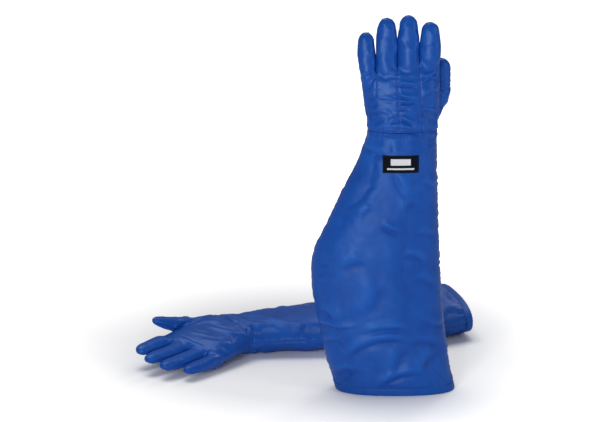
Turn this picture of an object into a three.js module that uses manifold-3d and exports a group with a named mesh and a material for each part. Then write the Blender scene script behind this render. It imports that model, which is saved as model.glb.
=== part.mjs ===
// A pair of shoulder-length cryogenic gloves, millimetres, +Z up.
// The left glove stands on its open cuff with the back of the hand towards -Y.
// The right glove lies behind it, palm up. Each glove is built in the same frame:
// x towards the thumb, y out of the palm, z from the cuff to the fingertips.
import * as THREE from "three";
import { ParametricGeometry } from "three/addons/geometries/ParametricGeometry.js";
import { mergeVertices } from "three/addons/utils/BufferGeometryUtils.js";
import Module from "manifold-3d";

// Outline of the glove at each station: height, little-finger edge, thumb edge, depth when
// it stands and depth when it lies flattened.
const HEM = { z: 0, left: -104, right: 101, depth: 96, flat: 62 };
const LOWER_SLEEVE = { z: 75, left: -126, right: 88, depth: 98, flat: 60 };
const ELBOW = { z: 222, left: -148, right: 74, depth: 100, flat: 60 };
const FOREARM = { z: 330, left: -106, right: 68.5, depth: 90, flat: 58 };
const WRIST = { z: 446, left: -54, right: 64.5, depth: 70, flat: 54 };
const PALM = { z: 505, left: -60, right: 66, depth: 50, flat: 48 };
const KNUCKLES = { z: 566, left: -72, right: 68, depth: 38, flat: 38 };
const KNUCKLE_SLOPE = 0.27; // the finger roots climb from the little finger to the index
const KNUCKLE_RUN = 28; // height over which the hand closes in on the finger roots

// Fingers: centre across the hand, width, thickness and the height of the tip.
const FINGERS = [
  { name: "little_finger", x: -57, width: 30, depth: 31, tip: 624 },
  { name: "ring_finger", x: -22, width: 33, depth: 34, tip: 648 },
  { name: "middle_finger", x: 14.5, width: 33, depth: 35, tip: 652 },
  { name: "index_finger", x: 50, width: 34, depth: 35, tip: 641 },
];
const THUMB = { x: 70.5, y: 27, width: 31, depth: 28, root: 505, tip: 575 };
const THUMB_HEEL = { x: 42, y: 9, z: 470, width: 32, depth: 28 };
const THUMB_SPREAD = THREE.MathUtils.degToRad(28); // of the lying glove's thumb

// Fabric layers, from the outside in.
const SHELL_WALL = 1.2;
const INSULATION_WALL = 4;
const LINING_WALL = 1;
const FINGER_LINER_WALL = 4.5;
const PLY_GAP = 0.3; // between plies, and between sections that meet

// Soft stretches of sleeve that bend, as half heights about the elbow and the wrist.
const ELBOW_REACH = 60;
const WRIST_REACH = 22;

// Finger hinges: where the fold lies between the middle and the palm face, and half the
// angle of the notch that leaves room for the fold.
const FOLD_SHARE = 0.5;
const NOTCH_SLOPE = Math.tan(THREE.MathUtils.degToRad(36));

const BINDING_HEIGHT = 14;
const BINDING_WALL = 1.2;
const LABEL = { x: 2, z: 407, width: 60, height: 29, wall: 0.8 };

// How the right glove lies: its cuff's centre from the left one's, the heading of its
// sleeve, turned from -X towards -Y, and how its hand is bent and rolled from the sleeve.
const LYING_CUFF = { x: 127, y: 360 };
const LYING_HEADING = THREE.MathUtils.degToRad(14);
const LYING_BEND = THREE.MathUtils.degToRad(31);
const LYING_ROLL = THREE.MathUtils.degToRad(8);

const SLEEVE_SIDES = 20;
const FINGER_SIDES = 10;
const STATION_STEPS = 2; // rings between two stations
const DOME_ANGLES = [90, 55, 25]; // rings of a fingertip, in degrees from its top
const SPINE_STEPS = 200; // of the lying glove's bend
const OPENING_RUN = 1.5; // how far a cavity is cut past the end of its wall
const SECTION_POWER = 2.4; // 2 is an ellipse, more is squarer

const FABRIC = {
  shell: { color: 0x2a52a0, roughness: 0.45, metalness: 0 },
  insulation: { color: 0xe9e6dc, roughness: 0.95, metalness: 0 },
  lining: { color: 0xb9c0cc, roughness: 0.9, metalness: 0 },
  binding: { color: 0x24488f, roughness: 0.5, metalness: 0 },
  label: { color: 0x121316, roughness: 0.7, metalness: 0 },
};

const wasm = await Module();
wasm.setup();

const STATIONS = [HEM, LOWER_SLEEVE, ELBOW, FOREARM, WRIST, PALM, KNUCKLES];

// Height of the finger roots at x.
function knuckleLine(x) {
  return KNUCKLES.z + KNUCKLE_SLOPE * x;
}

// One edge or depth of the outline at height z, smooth through the stations.
function smooth(key, z) {
  const last = STATIONS.length - 2;
  let i = STATIONS.findIndex((s) => s.z > z) - 1;
  if (i < 0) i = z < HEM.z ? 0 : last;
  const slope = (j) => {
    const a = STATIONS[Math.max(j - 1, 0)];
    const b = STATIONS[Math.min(j + 1, STATIONS.length - 1)];
    return (b[key] - a[key]) / (b.z - a.z);
  };
  const [p, q] = [STATIONS[i], STATIONS[i + 1]];
  const span = q.z - p.z;
  const t = THREE.MathUtils.clamp((z - p.z) / span, 0, 1);
  const [t2, t3] = [t * t, t * t * t];
  return (
    p[key] * (2 * t3 - 3 * t2 + 1) +
    q[key] * (3 * t2 - 2 * t3) +
    slope(i) * span * (t3 - 2 * t2 + t) +
    slope(i + 1) * span * (t3 - t2)
  );
}

// The closed outline of the sleeve or hand at height z, this far inside the surface.
// A lying glove has its back in the plane y = 0.
function section(lies, z, inset) {
  const left = smooth("left", z);
  const right = smooth("right", z);
  const halfDepth = smooth(lies ? "flat" : "depth", z) / 2;
  return {
    x: (left + right) / 2,
    y: lies ? halfDepth : 0,
    z,
    rx: (right - left) / 2 - inset,
    ry: halfDepth - inset,
  };
}

// A ring of points round a section; lift(x, y) moves its height.
function ring(s, lift = () => 0) {
  return (u, target) => {
    const [c, n] = [Math.cos(u), Math.sin(u)];
    const power = 2 / SECTION_POWER;
    const x = s.x + s.rx * Math.sign(c) * Math.abs(c) ** power;
    const y = s.y + s.ry * Math.sign(n) * Math.abs(n) ** power;
    return target.set(x, y, s.z + lift(x, y));
  };
}

// The point that closes a row of rings.
function pole(s, lift = () => 0) {
  return (u, target) => target.set(s.x, s.y, s.z + lift(s.x, s.y));
}

// A surface through rings, one after another.
function skin(rings, sides) {
  const steps = rings.length - 1;
  const next = new THREE.Vector3();
  const surface = (u, v, target) => {
    const i = Math.min(Math.floor(v * steps + 1e-9), steps - 1);
    const turn = -u * 2 * Math.PI;
    rings[i](turn, target);
    rings[i + 1](turn, next);
    target.lerp(next, THREE.MathUtils.clamp(v * steps - i, 0, 1));
  };
  return new ParametricGeometry(surface, sides, steps);
}

// Heights from low to high, with every station between them.
function heights(low, high) {
  const marks = [low, ...STATIONS.map((s) => s.z).filter((z) => z > low + 8 && z < high - 8), high];
  const steps = [low];
  for (let i = 1; i < marks.length; i += 1) {
    for (let k = 1; k <= STATION_STEPS; k += 1) {
      steps.push(THREE.MathUtils.lerp(marks[i - 1], marks[i], k / STATION_STEPS));
    }
  }
  return steps;
}

// The U-shaped tape that closes the cuff edge.
function hemBinding(lies) {
  const deep = SHELL_WALL + INSULATION_WALL + LINING_WALL + 3 * PLY_GAP;
  const out = -PLY_GAP;
  const corners = [
    [0, deep + BINDING_WALL],
    [BINDING_HEIGHT, deep + BINDING_WALL],
    [BINDING_HEIGHT, deep],
    [BINDING_WALL, deep],
    [BINDING_WALL, out],
    [BINDING_HEIGHT, out],
    [BINDING_HEIGHT, out - BINDING_WALL],
    [0, out - BINDING_WALL],
    [0, deep + BINDING_WALL],
  ];
  return skin(corners.map(([z, inset]) => ring(section(lies, z, inset))), SLEEVE_SIDES);
}

// A closed solid as a manifold, for joining and cutting.
function solid(geometry) {
  const bare = geometry.clone();
  bare.deleteAttribute("normal");
  bare.deleteAttribute("uv");
  const merged = mergeVertices(bare, 1e-3);
  const mesh = new wasm.Mesh({
    numProp: 3,
    vertProperties: merged.attributes.position.array,
    triVerts: new Uint32Array(merged.index.array),
  });
  return new wasm.Manifold(mesh);
}

function geometryOf(manifold) {
  const mesh = manifold.getMesh();
  const geometry = new THREE.BufferGeometry();
  geometry.setAttribute("position", new THREE.BufferAttribute(mesh.vertProperties, 3));
  geometry.setIndex(new THREE.BufferAttribute(mesh.triVerts, 1));
  return geometry;
}

// A stretch of sleeve, filled, run past its ends by the length over.
function filledSleeve(lies, low, high, inset, over) {
  const levels = heights(low, high).map((z) => section(lies, z, inset));
  const start = { ...levels[0], z: low - over };
  const end = { ...levels.at(-1), z: high + over };
  const rings = [pole(end), ...[start, ...levels, end].reverse().map((s) => ring(s)), pole(start)];
  return solid(skin(rings, SLEEVE_SIDES));
}

// An open-ended wall of the sleeve between two heights.
function sleeveWall(lies, low, high, inset, wall) {
  const filled = filledSleeve(lies, low, high, inset, 0);
  return geometryOf(filled.subtract(filledSleeve(lies, low, high, inset + wall, OPENING_RUN)));
}

// The middle of the hand's thickness at the finger roots, and where the fingers fold.
const rootMiddle = (lies) => (lies ? KNUCKLES.flat / 2 : 0);
const foldDepth = (lies) => rootMiddle(lies) + (FOLD_SHARE * KNUCKLES.depth) / 2;

// The thumb sits this far out of the back plane or the mid plane, and folds at foldSide.
const thumbDepth = (o, lies) => o.y + (lies ? PALM.flat / 2 : 0);
const foldSide = THUMB.x + (FOLD_SHARE * THUMB.width) / 2;

// The hand from the wrist to the finger roots, filled, with its thumb root. It runs past
// its open ends by the length over.
function filledHand(lies, low, inset, over) {
  const top = { ...section(lies, KNUCKLES.z, inset), z: 0 };
  const rim = (x, y) => knuckleLine(x) - NOTCH_SLOPE * Math.max(0, y - foldDepth(lies));
  const past = (x, y) => rim(x, y) + over;
  const body = heights(low, KNUCKLES.z - KNUCKLE_RUN).map((z) => section(lies, z, inset));
  const start = { ...body[0], z: low - over };
  const rings = [
    pole(top, past),
    ring(top, past),
    ring(top, rim),
    ...body.toReversed().map((s) => ring(s)),
    ring(start),
    pole(start),
  ];
  return solid(skin(rings, SLEEVE_SIDES)).add(solid(thumbHeel(lies, inset, over)));
}

// The stub on the side of the hand that carries the thumb.
function thumbHeel(lies, inset, over) {
  const oval = (o, z) => ({
    x: o.x,
    y: thumbDepth(o, lies),
    z,
    rx: o.width / 2 - inset,
    ry: o.depth / 2 - inset,
  });
  const foot = oval(THUMB_HEEL, THUMB_HEEL.z);
  const head = oval(THUMB, THUMB.root);
  const rim = (x) => -NOTCH_SLOPE * Math.max(0, x - foldSide);
  const past = (x) => rim(x) + over;
  const rings = [pole(head, past), ring(head, past), ring(head, rim), ring(foot), pole(foot)];
  return skin(rings, FINGER_SIDES);
}

function handWall(lies, low, inset, wall) {
  const filled = filledHand(lies, low, inset, 0);
  return geometryOf(filled.subtract(filledHand(lies, low, inset + wall, OPENING_RUN)));
}

// A finger or thumb stall: closed at the tip, open at the root that foot(x, y) gives.
function stall(digit, middle, foot, inset, wall) {
  const cup = (deep) => {
    const rx = digit.width / 2 - deep;
    const ry = digit.depth / 2 - deep;
    const tip = digit.tip - deep;
    const at = (z, share) => ({ x: digit.x, y: middle, z, rx: rx * share, ry: ry * share });
    const dome = DOME_ANGLES.map((deg) => {
      const angle = THREE.MathUtils.degToRad(deg);
      return ring(at(tip - rx + rx * Math.cos(angle), Math.sin(angle)));
    });
    return [ring(at(0, 1), foot), ...dome, pole(at(tip, 0))];
  };
  return skin([...cup(inset).toReversed(), ...cup(inset + wall)], FINGER_SIDES);
}

function fingerStall(lies, finger, inset, wall) {
  const notch = (y) => NOTCH_SLOPE * Math.max(0, y - foldDepth(lies));
  const foot = (x, y) => knuckleLine(x) + PLY_GAP + notch(y);
  return stall(finger, rootMiddle(lies), foot, inset, wall);
}

// The thumb, spread from the hand about its fold.
function thumbStall(lies, spread, inset, wall) {
  const foot = (x) => THUMB.root + PLY_GAP + NOTCH_SLOPE * Math.max(0, x - foldSide);
  return stall(THUMB, thumbDepth(THUMB, lies), foot, inset, wall)
    .translate(-foldSide, 0, -THUMB.root)
    .rotateY(spread)
    .translate(foldSide, 0, THUMB.root);
}

// The woven patch on the back of the wrist, bent to the sleeve.
function label(lies) {
  const patch = new THREE.BoxGeometry(LABEL.width, LABEL.wall, LABEL.height, 6, 1, 1);
  const spots = patch.attributes.position;
  for (let i = 0; i < spots.count; i += 1) {
    const [x, z] = [spots.getX(i) + LABEL.x, spots.getZ(i) + LABEL.z];
    const s = section(lies, z, -PLY_GAP);
    const across = Math.min(Math.abs(x - s.x) / s.rx, 1);
    const face = s.ry * (1 - across ** SECTION_POWER) ** (1 / SECTION_POWER);
    spots.setXYZ(i, x, s.y - face - LABEL.wall / 2 + spots.getY(i), z);
  }
  return patch;
}

// How far the bend has gone at height z: half of it at the elbow, half at the wrist.
function bendShare(z) {
  const elbow = THREE.MathUtils.smoothstep(z, ELBOW.z - ELBOW_REACH, ELBOW.z + ELBOW_REACH);
  return (elbow + wristShare(z)) / 2;
}

function wristShare(z) {
  return THREE.MathUtils.smoothstep(z, WRIST.z - WRIST_REACH, WRIST.z + WRIST_REACH);
}

// Bends the glove at its elbow and wrist, and rolls the hand up from its little finger.
function bendAndRoll(geometry) {
  const edge = smooth("left", WRIST.z + WRIST_REACH);
  const spots = geometry.attributes.position;
  for (let i = 0; i < spots.count; i += 1) {
    const [x, y, z] = [spots.getX(i), spots.getY(i), spots.getZ(i)];
    const spine = new THREE.Vector2();
    const run = z / SPINE_STEPS;
    for (let k = 0; k < SPINE_STEPS; k += 1) {
      const heading = LYING_BEND * bendShare(run * (k + 0.5));
      spine.x -= run * Math.sin(heading);
      spine.y += run * Math.cos(heading);
    }
    const bend = LYING_BEND * bendShare(z);
    const roll = LYING_ROLL * wristShare(z);
    const across = edge + (x - edge) * Math.cos(roll) - y * Math.sin(roll);
    const above = (x - edge) * Math.sin(roll) + y * Math.cos(roll);
    const end = spine.y + across * Math.sin(bend);
    spots.setXYZ(i, spine.x + across * Math.cos(bend), above, end);
  }
  return geometry;
}

function piece(name, geometry, fabric) {
  geometry.computeVertexNormals();
  const mesh = new THREE.Mesh(geometry, new THREE.MeshStandardMaterial(FABRIC[fabric]));
  mesh.name = name;
  return mesh;
}

const PLIES = [
  ["shell", 0, SHELL_WALL],
  ["insulation", SHELL_WALL + PLY_GAP, INSULATION_WALL],
  ["lining", SHELL_WALL + INSULATION_WALL + 2 * PLY_GAP, LINING_WALL],
];
const STALL_PLIES = [
  ["shell", 0, SHELL_WALL],
  ["liner", SHELL_WALL + PLY_GAP, FINGER_LINER_WALL],
];

// One glove: standing straight, or lying flattened and bent.
function glove(side, lies) {
  const group = new THREE.Group();
  const full = SHELL_WALL + INSULATION_WALL + LINING_WALL + 2 * PLY_GAP;
  const base = BINDING_WALL + PLY_GAP;
  const [elbowLow, elbowHigh] = [ELBOW.z - ELBOW_REACH, ELBOW.z + ELBOW_REACH];
  const [wristLow, wristHigh] = [WRIST.z - WRIST_REACH, WRIST.z + WRIST_REACH];
  const add = (name, geometry, fabric) => {
    group.add(piece(`${side}_${name}`, lies ? bendAndRoll(geometry) : geometry, fabric));
  };
  const addPlies = (name, list, wallOf) => {
    for (const [ply, inset, wall] of list) {
      add(`${name}_${ply}`, wallOf(inset, wall), ply === "liner" ? "lining" : ply);
    }
  };
  const stretch = (low, high) => (inset, wall) => sleeveWall(lies, low, high, inset, wall);
  const bandOf = (low, high) => sleeveWall(lies, low + PLY_GAP, high - PLY_GAP, 0, full);
  add("hem_binding", hemBinding(lies), "binding");
  addPlies("lower_sleeve", PLIES, stretch(base, elbowLow));
  add("elbow_section", bandOf(elbowLow, elbowHigh), "shell");
  addPlies("forearm_sleeve", PLIES, stretch(elbowHigh, wristLow));
  add("wrist_section", bandOf(wristLow, wristHigh), "shell");
  add("label", label(lies), "label");
  addPlies("hand", PLIES, (inset, wall) => handWall(lies, wristHigh, inset, wall));
  for (const finger of FINGERS) {
    addPlies(finger.name, STALL_PLIES, (inset, wall) => fingerStall(lies, finger, inset, wall));
  }
  const spread = lies ? THUMB_SPREAD : 0;
  addPlies("thumb", STALL_PLIES, (inset, wall) => thumbStall(lies, spread, inset, wall));
  return group;
}

// Turns the right glove to lie palm up: a mirror of the left one, its back on the floor.
function layDown(group) {
  const fingers = new THREE.Vector3(-Math.cos(LYING_HEADING), -Math.sin(LYING_HEADING), 0);
  const away = new THREE.Vector3(Math.sin(LYING_HEADING), -Math.cos(LYING_HEADING), 0);
  const palm = new THREE.Vector3().crossVectors(fingers, away);
  group.quaternion.setFromRotationMatrix(new THREE.Matrix4().makeBasis(away, palm, fingers));
  group.scale.x = -1;
  group.position.set(LYING_CUFF.x, LYING_CUFF.y, 0);
  group.position.z = -new THREE.Box3().setFromObject(group, true).min.z;
}

const pair = new THREE.Group();
const leftGlove = glove("left", false);
const rightGlove = glove("right", true);
layDown(rightGlove);
pair.add(leftGlove, rightGlove);

// The origin is under the middle of the pair.
const box = new THREE.Box3().setFromObject(pair, true);
const middle = box.getCenter(new THREE.Vector3());
pair.position.set(-middle.x, -middle.y, -box.min.z);

export default new THREE.Group().add(pair);
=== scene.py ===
import math

import bmesh
import bpy
import numpy as np
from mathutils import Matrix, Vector, noise
from mathutils.bvhtree import BVHTree


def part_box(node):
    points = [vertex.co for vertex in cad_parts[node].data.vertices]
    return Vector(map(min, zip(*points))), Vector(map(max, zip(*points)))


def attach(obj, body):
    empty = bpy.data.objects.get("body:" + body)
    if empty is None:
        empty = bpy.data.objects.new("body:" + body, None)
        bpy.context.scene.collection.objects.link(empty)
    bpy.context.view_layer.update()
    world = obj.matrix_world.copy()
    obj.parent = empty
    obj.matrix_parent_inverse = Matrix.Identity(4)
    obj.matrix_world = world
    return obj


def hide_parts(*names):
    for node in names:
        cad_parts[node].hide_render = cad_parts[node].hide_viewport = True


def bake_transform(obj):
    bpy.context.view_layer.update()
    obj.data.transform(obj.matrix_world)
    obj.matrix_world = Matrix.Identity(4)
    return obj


# A pair of padded cryogenic gloves of coated satin nylon. Each glove is shaped in its own
# frame, in metres: x towards the thumb, y out of the palm, z from the cuff to the fingertips.
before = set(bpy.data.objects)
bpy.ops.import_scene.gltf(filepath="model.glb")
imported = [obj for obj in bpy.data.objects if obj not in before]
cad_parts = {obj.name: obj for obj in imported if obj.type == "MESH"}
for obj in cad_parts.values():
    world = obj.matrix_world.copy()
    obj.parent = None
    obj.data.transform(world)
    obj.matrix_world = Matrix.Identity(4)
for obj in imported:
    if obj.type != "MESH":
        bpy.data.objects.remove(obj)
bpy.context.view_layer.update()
MM = 0.001

# Outline at each station: height, little-finger edge, thumb edge, depth standing and lying.
STATIONS = np.array([
    (0, -104, 101, 96, 62),
    (75, -126, 88, 98, 60),
    (222, -148, 74, 100, 60),
    (330, -106, 68.5, 90, 58),
    (446, -55, 66, 70, 54),
    (505, -60.5, 68, 50, 46),
    (566, -67.5, 68, 38, 36),
]) * MM
STATION_Z = STATIONS[:, 0]
LEFT_EDGE, RIGHT_EDGE, DEPTH_STANDING, DEPTH_LYING = 1, 2, 3, 4
KNUCKLE_Z = 566 * MM
KNUCKLE_SLOPE = 0.27
SECTION_POWER = 2.4
ELBOW_Z = 222 * MM
ELBOW_REACH = 60 * MM
WRIST_Z = 446 * MM
WRIST_REACH = 22 * MM
WRIST_SEAM_Z = 459 * MM
HAND_TOP_Z = 0.538  # level rings end here and slope to the knuckles above
FOREARM_CUT_Z = 352 * MM
HEM_EDGE_Z = 1.6 * MM
HEM_STITCH_Z = 12.5 * MM
SLEEVE_TAIL = 18 * MM  # cloth below the cuff edge while the glove is shaped, cut off later

# Digits: name, slot across the hand, thickness, tip height and the fan angle that keeps
# them apart while the glove is shaped.
FINGERS = [
    ("little_finger", (-72.6, -39.62), 30.5, 624, -17),
    ("ring_finger", (-39.58, -3.72), 33.5, 648, -6),
    ("middle_finger", (-3.68, 32.28), 34.5, 652, 5),
    ("index_finger", (32.32, 68.6), 34.5, 641, 16),
]
THUMB = ("thumb", (54.6, 86.4), 28.0, 575, 34)
DIGIT_POWER = 2.15
THUMB_Y = 27 * MM
LYING_THUMB_Y = 6 * MM  # above the middle of the lying palm
THUMB_ROOT_Z = 505 * MM
THUMB_HEEL = Vector((50 * MM, 9 * MM, 463 * MM))
THUMB_SPREAD = math.radians(28)
THUMB_TILT = 0.22  # how steeply the lying thumb rises
DOME = 1.15  # height of a fingertip's dome, in half widths
SKIN_INSET = 0.6 * MM  # the skin is shaped this far inside its outline and swells
SHAPING_WIDTH = 0.80  # finger width while shaped, as a share of its slot
LABEL_MIDDLE = (2 * MM, 407 * MM)
LABEL_SIZE = (60 * MM, 29 * MM)

# How the right glove lies.
LYING_CUFF = Vector((127 * MM, 360 * MM, 1.5 * MM))
LYING_HEADING = math.radians(14)
LYING_BEND = math.radians(31)
LYING_ROLL = math.radians(8)

VOXEL = 3.25 * MM
FINGER_CUT = 5 * MM  # the finger covers start this far above the knuckle line
THUMB_CUT = 10 * MM
CROTCH_DEPTH = 8 * MM  # how far below the finger roots the gaps between them are closed
SLOT_GAP = 0.02 * MM  # kept free at each side of a finger
CLOTH_FRAMES = 20


def smoothstep(value, low, high):
    t = np.clip((value - low) / (high - low), 0, 1)
    return t * t * (3 - 2 * t)


def outline(column, z):
    """One edge or depth of the glove at the heights z, smooth through the stations."""
    z = np.asarray(z, float)
    table = STATIONS[:, column]
    slopes = np.empty(len(table))
    slopes[1:-1] = (table[2:] - table[:-2]) / (STATION_Z[2:] - STATION_Z[:-2])
    slopes[0] = (table[1] - table[0]) / (STATION_Z[1] - STATION_Z[0])
    slopes[-1] = (table[-1] - table[-2]) / (STATION_Z[-1] - STATION_Z[-2])
    i = np.clip(np.searchsorted(STATION_Z, z, side="right") - 1, 0, len(table) - 2)
    span = STATION_Z[i + 1] - STATION_Z[i]
    t = np.clip((z - STATION_Z[i]) / span, 0, 1)
    return (
        table[i] * (2 * t**3 - 3 * t**2 + 1)
        + table[i + 1] * (3 * t**2 - 2 * t**3)
        + slopes[i] * span * (t**3 - 2 * t**2 + t)
        + slopes[i + 1] * span * (t**3 - t**2)
    )


def section_at(lies, z, inset=0.0):
    """Middle x, middle y, half width and half depth of the glove at the heights z."""
    left, right = outline(LEFT_EDGE, z), outline(RIGHT_EDGE, z)
    half_depth = outline(DEPTH_LYING if lies else DEPTH_STANDING, z) / 2
    middle_y = half_depth if lies else 0 * half_depth
    return (left + right) / 2, middle_y, (right - left) / 2 - inset, half_depth - inset


def knuckle_line(x):
    return KNUCKLE_Z + KNUCKLE_SLOPE * x


def full_turn(count):
    return np.linspace(0, 2 * math.pi, count, endpoint=False)


def oval(turn, power=SECTION_POWER):
    """Unit rounded rectangle at the angles turn."""
    c, s = np.cos(turn), np.sin(turn)
    return np.sign(c) * np.abs(c) ** (2 / power), np.sign(s) * np.abs(s) ** (2 / power)


def ring_at(shape, x, y, wide, deep, z):
    """The unit shape with a half width and half depth about (x, y) at height z."""
    return np.stack([x + shape[0] * wide, y + shape[1] * deep,
                     np.broadcast_to(z, shape[0].shape)], -1)


def quads(rows, columns, rows_close=False, columns_close=True):
    """Faces of a grid of points, whose rows and columns may close on themselves."""
    faces = []
    for r in range(rows if rows_close else rows - 1):
        a, b = r * columns, (r + 1) % rows * columns
        for c in range(columns if columns_close else columns - 1):
            d = (c + 1) % columns
            faces.append((a + c, a + d, b + d, b + c))
    return faces


def loft(rings):
    """Points and faces of a skin through rings, each end closed by a middle point."""
    count = len(rings[0])
    last = (len(rings) - 1) * count
    points = [p for ring in rings for p in ring]
    points += [np.mean(rings[0], axis=0), np.mean(rings[-1], axis=0)]
    faces = quads(len(rings), count)
    faces += [((i + 1) % count, i, len(points) - 2) for i in range(count)]
    faces += [(last + i, last + (i + 1) % count, len(points) - 1) for i in range(count)]
    return np.array(points), faces


def set_all(thing, **settings):
    for key, value in settings.items():
        setattr(thing, key, value)
    return thing


def added(name, data):
    """A new object in the scene."""
    thing = bpy.data.objects.new(name, data)
    bpy.context.scene.collection.objects.link(thing)
    return thing


def make_object(name, points, faces):
    mesh = bpy.data.meshes.new(name)
    mesh.from_pydata([tuple(p) for p in points], [], faces)
    mesh.update()
    return added(name, mesh)


def coordinates(mesh, kind="co"):
    """The place, or with kind "normal" the normal, of every vertex."""
    flat = np.empty(len(mesh.vertices) * 3)
    mesh.vertices.foreach_get(kind, flat)
    return flat.reshape(-1, 3)


def set_coordinates(mesh, points):
    mesh.vertices.foreach_set("co", np.asarray(points, np.float32).ravel())
    mesh.update()


def modified(body, *modifiers):
    """Applies modifiers, given as (type, settings), one after another."""
    for kind, settings in modifiers:
        modifier = set_all(body.modifiers.new(kind.lower(), kind), **settings)
        finished = evaluated_mesh(body)
        body.modifiers.remove(modifier)
        body.data = finished
    return body


def evaluated_mesh(body):
    depsgraph = bpy.context.evaluated_depsgraph_get()
    return bpy.data.meshes.new_from_object(body.evaluated_get(depsgraph))


def finish_mesh(mesh, material, place=None):
    """Smooth shading, a material, and the straight place that the weave follows."""
    mesh.polygons.foreach_set("use_smooth", [True] * len(mesh.polygons))
    if place is not None:
        fabric = mesh.attributes.new("cloth_place", "FLOAT_VECTOR", "POINT")
        fabric.data.foreach_set("vector", place.astype(np.float32).ravel())
    mesh.materials.append(material)


# ---------------------------------------------------------------- shaping frame

def path_along(run, heading, x, z):
    """x and z of a line from (x, z) that turns to its heading along its run."""
    return [start + np.concatenate([[0], np.cumsum(part(heading) * run[1])[:-1]])
            for start, part in ((x, np.sin), (z, np.cos))]


class Digit:
    """A finger or thumb: its middle line while shaped, fanned out, and in the glove."""

    def __init__(self, row, lies):
        self.name, slot, depth, tip, fan = row
        self.is_thumb = self.name == "thumb"
        self.slot = (slot[0] * MM, slot[1] * MM)
        self.middle = (self.slot[0] + self.slot[1]) / 2
        self.half_width = (self.slot[1] - self.slot[0]) / 2
        self.half_depth = depth * MM / 2
        self.grow = 0.97 if lies else 1.10
        if self.is_thumb:
            self.root = THUMB_ROOT_Z
            self.taper = 0.60 if lies else 0.16
            self.y = LYING_THUMB_Y + outline(DEPTH_LYING, THUMB_ROOT_Z) / 2 if lies else THUMB_Y
        else:
            self.root = knuckle_line(self.middle)
            self.taper = 0.34 if lies else 0.24
            self.y = outline(DEPTH_LYING, KNUCKLE_Z) / 2 if lies else 0.0
            self.half_depth *= 0.76 if lies else 1.0
        self.length = tip * MM - self.root
        straight = lies or self.is_thumb
        self.taper_from = 0.0 if straight else self.length - 58 * MM
        self.taper_to = self.length * 1.25 if straight else self.length - 6 * MM
        self.run = np.linspace(0, self.length + 0.02, 120)
        self.heading = math.radians(fan) * smoothstep(self.run, 0, 14 * MM)
        self.line_x, self.line_z = path_along(self.run, self.heading, self.middle, self.root)

    def place(self, across, y, up):
        """From the straight digit (across its middle, y, height above its root) to the fan."""
        up = np.asarray(up, float)
        k = np.clip(up, 0, self.run[-1])
        x = np.interp(k, self.run, self.line_x)
        z = np.interp(k, self.run, self.line_z)
        turn = np.interp(k, self.run, self.heading)
        z = z + np.minimum(up, 0)
        return np.stack([x + across * np.cos(turn), np.broadcast_to(y, x.shape),
                         z - across * np.sin(turn)], axis=-1)

    def unplace(self, points):
        """From the fan back to (across, height above root) of the straight digit."""
        spots = points[:, None, [0, 2]] - np.stack([self.line_x, self.line_z], -1)[None]
        nearest = np.argmin((spots**2).sum(-1), axis=1)
        turn = self.heading[nearest]
        off = points[:, [0, 2]] - np.stack([self.line_x, self.line_z], -1)[nearest]
        across = off[:, 0] * np.cos(turn) - off[:, 1] * np.sin(turn)
        along = off[:, 0] * np.sin(turn) + off[:, 1] * np.cos(turn)
        return across, self.run[nearest] + along

    def rings(self):
        """Rings of the fanned digit from inside the hand to its tip."""
        cx, cy = oval(full_turn(40), DIGIT_POWER)
        wide = self.half_width * SHAPING_WIDTH
        dome = wide * DOME
        start, base = (-6 * MM, 1.12) if self.is_thumb else (-32 * MM, 1.0)
        made = []

        def add(across, deep, up):
            made.append(self.place(across, self.y + cy * self.half_depth * deep,
                                   np.full(len(cx), up)))

        for up in np.linspace(start, self.length - dome, 26):
            share = base - self.taper * smoothstep(up, self.taper_from, self.taper_to)
            deep = share + 0.12 * (1 - smoothstep(up, 0, 32 * MM))
            across = cx * wide * share
            if not self.is_thumb:
                # below its root a finger narrows inside the hand
                buried = smoothstep(-up, 0, 28 * MM)
                across *= 1 - 0.35 * buried
                deep *= 1 - 0.35 * buried
                if self.name == "little_finger":
                    across += 5 * MM * buried
                edge = SKIN_INSET - max(up, 0) * 0.25
                low, high = (float(outline(side, up + self.root)) - self.middle
                             for side in (LEFT_EDGE, RIGHT_EDGE))
                across = np.clip(across, low + edge, high - edge)
            add(across, deep, up)
        last = share
        for angle in np.radians([12, 24, 36, 48, 60, 71, 81]):
            share = math.cos(angle) ** 0.85 * (last - 0.3 * self.taper * math.sin(angle))
            add(cx * wide * share, share, self.length - dome + dome * math.sin(angle) - 0.5 * MM)
        return made


def body_rings(lies):
    """Rings of the sleeve and hand, from below the cuff edge to the knuckles."""
    shape = oval(full_turn(120))
    made = [ring_at(shape, *section_at(lies, max(z, 0.0), SKIN_INSET), z)
            for z in [-SLEEVE_TAIL, *np.linspace(0, HAND_TOP_Z, 110)]]
    x, _, wide, _ = section_at(lies, KNUCKLE_Z, SKIN_INSET)
    rise = knuckle_line(x + shape[0] * wide) - 1 * MM - HAND_TOP_Z
    for share in (0.35, 0.7, 1.0):
        level = HAND_TOP_Z + (KNUCKLE_Z - HAND_TOP_Z) * share
        x, y, wide, deep = section_at(lies, level, SKIN_INSET)
        made.append(ring_at(shape, x, y, wide, deep * (1 - 0.16 * share),
                            HAND_TOP_Z + rise * share))
    return made


def heel_rings(thumb, lies):
    """The mound of the palm that carries the thumb."""
    shape = oval(full_turn(40), 2.0)
    palm = outline(DEPTH_LYING, 0.47) / 2 if lies else 0.0
    low = np.array(THUMB_HEEL) + [0, palm, 0]
    high = np.array([thumb.middle, thumb.y, THUMB_ROOT_Z])
    made = []
    for share in np.linspace(-0.7, 1.0, 16):
        x, y, z = low + (high - low) * share
        size = 0.82 + 0.12 * share
        made.append(ring_at(shape, x, y, thumb.half_width * size, thumb.half_depth * size, z))
    return made


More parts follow.
